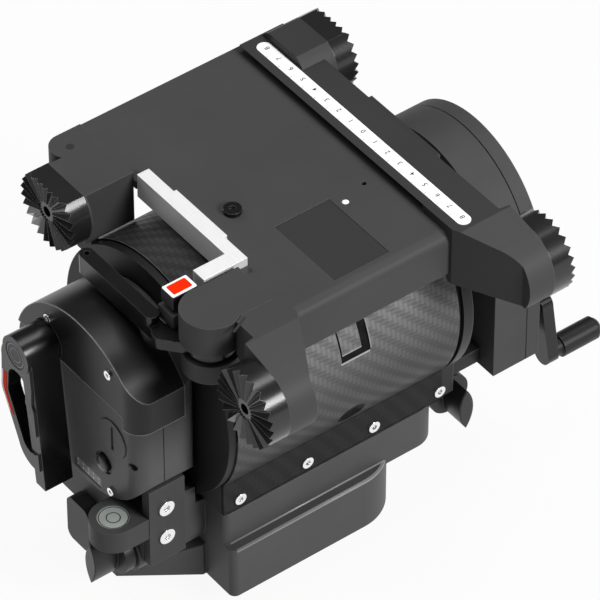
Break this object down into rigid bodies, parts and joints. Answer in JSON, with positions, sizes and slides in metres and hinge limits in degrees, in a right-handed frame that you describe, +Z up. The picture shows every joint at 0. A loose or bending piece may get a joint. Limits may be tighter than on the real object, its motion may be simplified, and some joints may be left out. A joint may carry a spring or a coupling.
{
  "type": "fluid video head",
  "caption": "Fluid pan and tilt head with a carbon-covered tilt drum, brake lever, counterbalance crank and a sliding-plate platform with toothed rosettes.",
  "frame": {"origin": "centre of the mounting face on the pan axis", "axes": "+X along the tilt axis towards the crank, +Y forward to the lens, +Z up along the pan axis"},
  "size_m": [0.3149, 0.219, 0.221],
  "materials": {
    "dark_anodised": "fine bead-blasted dark anodising",
    "cast_paint": "satin dark grey paint over a casting",
    "hood_paint": "smooth satin black paint",
    "carbon": "carbon twill under a satin clear coat",
    "polished_steel": "bright screws and shafts",
    "brushed_bar": "brushed bright bar",
    "black_metal": "gloss black anodising",
    "black_plastic": "moulded black plastic",
    "red_plastic": "red insert in a white frame",
    "white_rule": "printed white strip",
    "grey_scale": "engraved grey plate",
    "vial_glass": "clear vial with a pale green fluid",
    "friction_lining": "pressed brake lining"
  },
  "bodies": {
    "base": {"base_flange": "dark_anodised", "pan_spindle": "polished_steel", "pan_bearings": "polished_steel", "pan_drag_rotor": "polished_steel", "spindle_nut": "polished_steel"},
    "pan_head": {"pan_housing": "cast_paint", "pan_bottom_cover": "cast_paint", "drum_frame": "dark_anodised", "drum_cover": "carbon", "cover_screws": "polished_steel", "tilt_bearings": "polished_steel", "right_cheek": "cast_paint", "left_housing": "cast_paint", "left_end_cap": "cast_paint", "left_hood": "hood_paint", "hood_screws": "polished_steel", "cheek_post": "cast_paint", "cheek_screws": "polished_steel", "level_bracket": "dark_anodised", "level_vial": "vial_glass", "scale_plate": "grey_scale", "coin_cell": "polished_steel", "right_housing": "cast_paint", "right_end_cap": "cast_paint", "spring_discs": "polished_steel"},
    "tilt_head": {"tilt_shaft": "polished_steel", "left_tilt_disc": "black_metal", "right_tilt_hub": "dark_anodised", "brake_disc": "polished_steel", "tilt_drag_rotor": "polished_steel", "platform": "dark_anodised", "lock_block": "dark_anodised", "deck_inlay": "black_metal", "deck_screws": "black_metal", "rule_strip": "white_rule", "rosette_front_left": "black_metal", "rosette_front_right": "black_metal", "rosette_rear_left": "black_metal", "rosette_rear_right": "black_metal", "lever_pin": "polished_steel", "lever_base": "dark_anodised"},
    "tilt_brake": {"tilt_brake_lever": "black_metal", "lever_cap": "black_plastic"},
    "brake_shoe": {"brake_pad": "friction_lining"},
    "pan_brake": {"pan_brake_lever": "black_plastic"},
    "pan_drag": {"pan_drag_knob": "black_plastic"},
    "tilt_drag": {"tilt_drag_knob": "black_plastic"},
    "battery_lid": {"battery_cap": "cast_paint"},
    "level_light": {"light_button": "black_plastic"},
    "crank": {"crank_arm": "black_metal", "crank_pin": "polished_steel"},
    "grip": {"crank_grip": "black_plastic"},
    "counterbalance": {"counterbalance_nut": "polished_steel"},
    "plate_clamp": {"clamp_bar": "brushed_bar"},
    "plate_lock": {"lock_lever": "black_metal"},
    "safety": {"safety_button": "red_plastic"}
  },
  "joints": [
    {"name": "pan", "type": "hinge", "parent": "base", "child": "pan_head", "pos_m": [0, 0, 0], "axis": [0, 0, 1], "continuous": true},
    {"name": "tilt", "type": "hinge", "parent": "pan_head", "child": "tilt_head", "pos_m": [0, 0, 0.13], "axis": [1, 0, 0], "range_deg": [-80, 70]},
    {"name": "tilt_brake_swing", "type": "hinge", "parent": "pan_head", "child": "tilt_brake", "pos_m": [-0.13, 0.0265, 0.155], "axis": [1, 0, 0], "range_deg": [0, 50]},
    {"name": "brake_shoe_slide", "type": "slide", "parent": "pan_head", "child": "brake_shoe", "axis": [1, 0, 0], "range_m": [0, 0.0006]},
    {"name": "pan_brake_swing", "type": "hinge", "parent": "pan_head", "child": "pan_brake", "pos_m": [-0.118, 0.008, 0.038], "axis": [1, 0, 0], "range_deg": [-30, 30]},
    {"name": "pan_drag_turn", "type": "hinge", "parent": "pan_head", "child": "pan_drag", "pos_m": [-0.12, -0.026, 0.046], "axis": [1, 0, 0], "range_deg": [0, 300]},
    {"name": "tilt_drag_turn", "type": "hinge", "parent": "pan_head", "child": "tilt_drag", "pos_m": [0.081, -0.05, 0.053], "axis": [0, 1, 0], "range_deg": [0, 300]},
    {"name": "battery_cap_turn", "type": "hinge", "parent": "pan_head", "child": "battery_lid", "pos_m": [-0.118, -0.0248, 0.1246], "axis": [1, 0, 0], "range_deg": [0, 90]},
    {"name": "light_press", "type": "slide", "parent": "pan_head", "child": "level_light", "axis": [1, 0, 0], "range_m": [0, 0.0015], "stiffness_N_per_m": 800},
    {"name": "crank_turn", "type": "hinge", "parent": "pan_head", "child": "crank", "pos_m": [0.13, -0.046, 0.0854], "axis": [1, 0, 0], "range_deg": [0, 2160]},
    {"name": "nut_travel", "type": "slide", "parent": "pan_head", "child": "counterbalance", "axis": [1, 0, 0], "range_m": [-0.0076, 0]},
    {"name": "grip_spin", "type": "hinge", "parent": "crank", "child": "grip", "pos_m": [0.15, -0.052, 0.0544], "axis": [1, 0, 0], "continuous": true},
    {"name": "lock_swing", "type": "hinge", "parent": "tilt_head", "child": "plate_lock", "pos_m": [-0.08, -0.0565, 0.193], "axis": [0, 0, 1], "range_deg": [0, 70]},
    {"name": "clamp_slide", "type": "slide", "parent": "tilt_head", "child": "plate_clamp", "axis": [1, 0, 0], "range_m": [-0.0041, 0]},
    {"name": "safety_press", "type": "slide", "parent": "tilt_head", "child": "safety", "axis": [0, 0, -1], "range_m": [0, 0.002], "stiffness_N_per_m": 1500, "springref_m": -0.0003}
  ],
  "couplings": [
    {"joint": "brake_shoe_slide", "follows": "tilt_brake_swing", "m_per_rad": 0.00057296},
    {"joint": "nut_travel", "follows": "crank_turn", "m_per_rad": -0.00019894},
    {"joint": "clamp_slide", "follows": "lock_swing", "m_per_rad": -0.003274}
  ]
}
